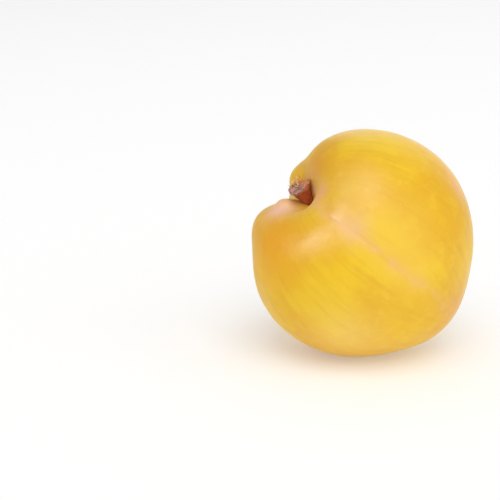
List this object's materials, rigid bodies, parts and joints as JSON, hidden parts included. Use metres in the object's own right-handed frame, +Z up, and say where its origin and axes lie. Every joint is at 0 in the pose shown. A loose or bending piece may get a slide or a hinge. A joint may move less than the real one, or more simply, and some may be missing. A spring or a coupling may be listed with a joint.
{
  "type": "plum",
  "caption": "Round yellow plum with a short torn stem in its cavity and a shallow suture, lying on its side on a small flat spot.",
  "frame": {"origin": "on the surface that the plum lies on, under the middle of the fruit's box", "axes": "+Z up from the surface. The fruit's axis, from its tip to its stem cavity, leans 51 degrees from +Z, towards -X. The suture faces -Y."},
  "size_m": [0.0496, 0.048, 0.0504],
  "materials": {
    "fruit_skin": "ripe yellow plum skin, satin, thin and slightly translucent, with a faint bloom",
    "stem_bark": "dry reddish-brown bark, rough, with a grey torn end"
  },
  "bodies": {
    "root": {"fruit": "fruit_skin", "stem": "stem_bark"}
  },
  "joints": []
}
